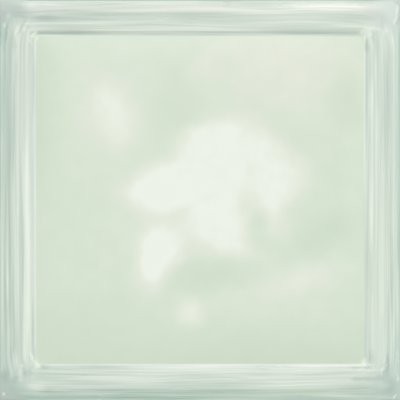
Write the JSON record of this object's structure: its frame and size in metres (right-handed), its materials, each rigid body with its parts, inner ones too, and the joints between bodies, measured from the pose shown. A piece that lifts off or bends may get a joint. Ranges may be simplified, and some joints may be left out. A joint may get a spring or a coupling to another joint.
{
  "type": "beveled tile",
  "caption": "Square glazed ceramic wall tile with a bevelled border moulding, a groove inside it and a softly pillowed centre panel; the back is ribbed.",
  "frame": {"origin": "centre of the back, on the plane that the tile lies on", "axes": "+Z out of the glazed face, +Y towards the top edge as hung, +X towards the right edge"},
  "size_m": [0.2, 0.2, 0.0085],
  "materials": {
    "glaze": "gloss"
  },
  "bodies": {
    "root": {"tile": "glaze"}
  },
  "joints": []
}
